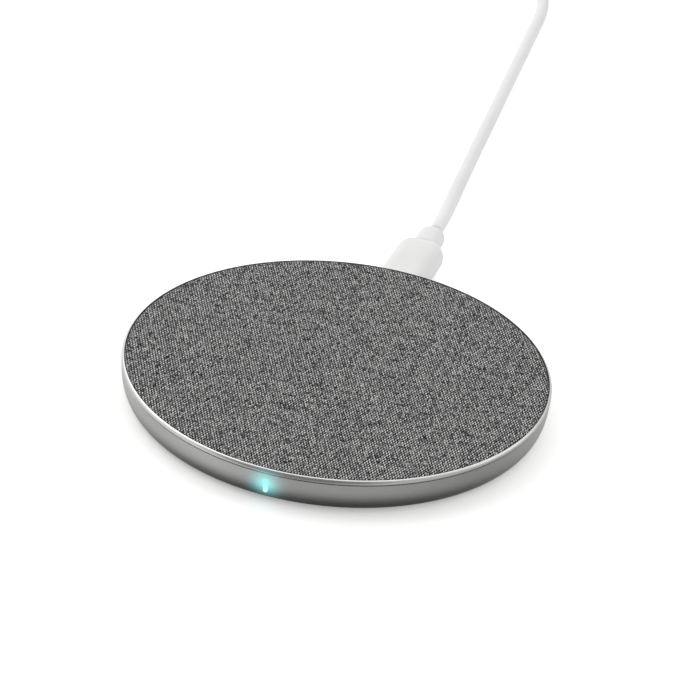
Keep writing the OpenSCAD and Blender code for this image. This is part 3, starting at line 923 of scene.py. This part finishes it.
A_CENTRE = (A_Y * MM, A_Z * MM)
A_GRIP_FRONT = a_grip_high.x
A_GRIP_BACK = A_GRIP_FRONT - 21 * MM
A_GRIP_W = a_grip_high.y - a_grip_low.y
A_GRIP_T = a_grip_high.z - a_grip_low.z
A_CORNER = 2.4 * MM
A_BACK_ROUND = 1.8 * MM
A_FRONT_ROUND = 0.5 * MM
A_TIP_D = 4.2 * MM
A_TIP_L = 0.35 * MM
A_NECK_D = 4.9 * MM
A_NECK_FLARE = 3.0 * MM
A_NECK_T = 7 * MM
A_NECK_INSIDE = 0.6 * MM
RIBS = 4
RIB_DEPTH = 0.35 * MM
STEPS_PER_RIB = 8
A_SHELL_W = 12 * MM
A_SHELL_T = 4.5 * MM
A_WALL = 0.3 * MM
WINDOW_START, WINDOW_END = 8.1 * MM, 5.9 * MM
# Width, height and corner radius
WINDOW = (2.2 * MM, 1.4 * MM, 0.1 * MM)
SEAM = (0.14 * MM, 0.24 * MM, 0.02 * MM)


def neck_ring(t):
    """The ribbed neck's outline at that share of its length: it widens and its ribs grow shallower."""
    rib = RIB_DEPTH * max(0, math.cos(2 * math.pi * RIBS * t)) * (1 - t * 0.3)
    size = A_NECK_D + A_NECK_FLARE * t ** 1.3 - rib
    return round_rect(size, min(size, A_NECK_T) * (1 - 0.08 * t), size * 0.47, 8)


def make_a_grip():
    """A flat grip, and behind it a neck with ribs that ends in a narrow tip."""
    start = A_NECK_X * MM
    neck_l = A_GRIP_BACK - start + A_NECK_INSIDE
    steps = STEPS_PER_RIB * RIBS
    neck = [(start, round_rect(A_TIP_D, A_TIP_D, A_TIP_D / 2 - 0.1 * MM, 8)), (start + A_TIP_L, neck_ring(0))]
    neck += [(start + neck_l * (k / steps), neck_ring(k / steps)) for k in range(2, steps)]
    grip = rounded_run(
        A_GRIP_BACK, A_GRIP_FRONT, (A_GRIP_W, A_GRIP_T), A_CORNER, A_BACK_ROUND, A_FRONT_ROUND)
    in_sight = [section for section in grip if section[0] > A_GRIP_BACK + 0.1 * MM]
    return loft("usb_a_grip", "X", A_CENTRE, neck + in_sight, sharp=50)


def make_a_shell():
    """The plug's shell, with two windows on top and the seam of its folded sheet underneath."""
    across, up = A_CENTRE
    shell = sleeve(
        "usb_a_nose", "X", A_CENTRE, round_rect(A_SHELL_W, A_SHELL_T, 0.6 * MM),
        round_rect(A_SHELL_W - 2 * A_WALL, A_SHELL_T - 2 * A_WALL, 0.32 * MM), a_shell_low.x, a_shell_high.x,
        0.08 * MM,
    )
    windows = [
        prism(
            f"window_cutter_{k}", "X", (across + side * A_SHELL_W / 4, up + A_SHELL_T / 2 - A_WALL / 2),
            round_rect(*WINDOW), a_shell_high.x - WINDOW_START, a_shell_high.x - WINDOW_END)
        for k, side in enumerate((-1, 1))
    ]
    seam = prism(
        "seam_cutter", "X", (across, up - A_SHELL_T / 2 - 0.05 * MM), round_rect(*SEAM), A_GRIP_FRONT,
        a_shell_high.x + MM)
    return carve(shell, *windows, seam)


a_grip = finish_piece(make_a_grip(), "cable", "grip_white", "usb_a_overmould")
a_shell = finish_piece(make_a_shell(), "cable", "socket_steel", "usb_a_shell")

# ---- Floor, light and colour ----

FLOOR_HALF = 3.0
FLOOR_Z = -0.05 * MM


def make_floor():
    corners = [(x * FLOOR_HALF, y * FLOOR_HALF, FLOOR_Z) for x, y in ((-1, -1), (1, -1), (1, 1), (-1, 1))]
    floor = mesh_object("floor", corners, [(0, 1, 2, 3)])
    s = Shader("floor_paper")
    tone = s.noise(s.place, 25, 3.0)
    s.set(
        Base_Color=s.ramp(tone, (0.3, (0.9, 0.9, 0.9)), (0.7, (0.93, 0.93, 0.93))),
        Roughness=0.75,
        Emission_Color=(1, 1, 1),
        Emission_Strength=0.3,
    )
    floor.data.materials.append(s.material)
    floor.visible_glossy = False


def area_light(name, place_at, target, width, height, power):
    data = bpy.data.lights.new(name, "AREA")
    data.shape = "RECTANGLE"
    data.size, data.size_y = width, height
    data.energy = power
    lamp = link(name, data)
    lamp.location = place_at
    lamp.rotation_euler = (Vector(target) - Vector(place_at)).to_track_quat("-Z", "Y").to_euler()


# How bright the room is in each direction, from straight down at -1 to straight up at 1
ROOM_BY_HEIGHT = (
    (-1, 0.06), (-0.8, 0.16), (-0.62, 0.48), (-0.45, 0.8), (-0.1, 0.85), (0.25, 0.88), (1, 0.92),
)


def make_world():
    """A soft room: bright to the left and on the table in front, dimmer in front above the table."""
    world = bpy.data.worlds.new("studio")
    world.use_nodes = True
    nodes, links = world.node_tree.nodes, world.node_tree.links
    direction = nodes.new("ShaderNodeTexCoord").outputs["Generated"]

    def along(axis, start, end, low, high):
        """Goes from low to high as the direction's part along the axis goes from start to end."""
        part = nodes.new("ShaderNodeVectorMath")
        part.operation = "DOT_PRODUCT"
        part.inputs[1].default_value = axis
        span = nodes.new("ShaderNodeMapRange")
        for name, value in (("From Min", start), ("From Max", end), ("To Min", low), ("To Max", high)):
            span.inputs[name].default_value = value
        links.new(direction, part.inputs[0])
        links.new(part.outputs["Value"], span.inputs["Value"])
        return span.outputs["Result"]

    def times(a, b):
        product = nodes.new("ShaderNodeMath")
        product.operation = "MULTIPLY"
        links.new(a, product.inputs[0])
        links.new(b, product.inputs[1])
        return product.outputs[0]

    by_height = nodes.new("ShaderNodeValToRGB")
    stops = by_height.color_ramp.elements
    for height, value in ROOM_BY_HEIGHT:
        stop = stops[0] if height == -1 else stops[-1] if height == 1 else stops.new((height + 1) / 2)
        stop.color = (value, value, value * 0.985, 1)
    links.new(along((0, 0, 1), -1, 1, 0, 1), by_height.inputs["Fac"])
    left = along((-0.68, 0.27, 0.68), -1, 1, 0.5, 1.2)
    front = along((0, -0.95, 0.3), 0.6, 0.8, 1, 0.2)
    table = along((0.1, -0.8, -0.6), 0.25, 1, 1, 1.75)
    background = nodes["Background"]
    links.new(by_height.outputs["Color"], background.inputs["Color"])
    links.new(times(times(left, front), table), background.inputs["Strength"])
    bpy.context.scene.world = world


make_floor()
make_world()
area_light("key", (-0.9, 0.2, 0.8), (0, 0, 0), 1.2, 1.2, 4.5)
area_light("top", (0.2, 0.4, 1.2), (0, 0, 0), 1.0, 1.0, 1.7)
area_light("fill", (1.1, 0.5, 0.5), (0, 0.1, 0), 1.0, 0.6, 1.5)
bpy.context.scene.view_settings.view_transform = "Standard"
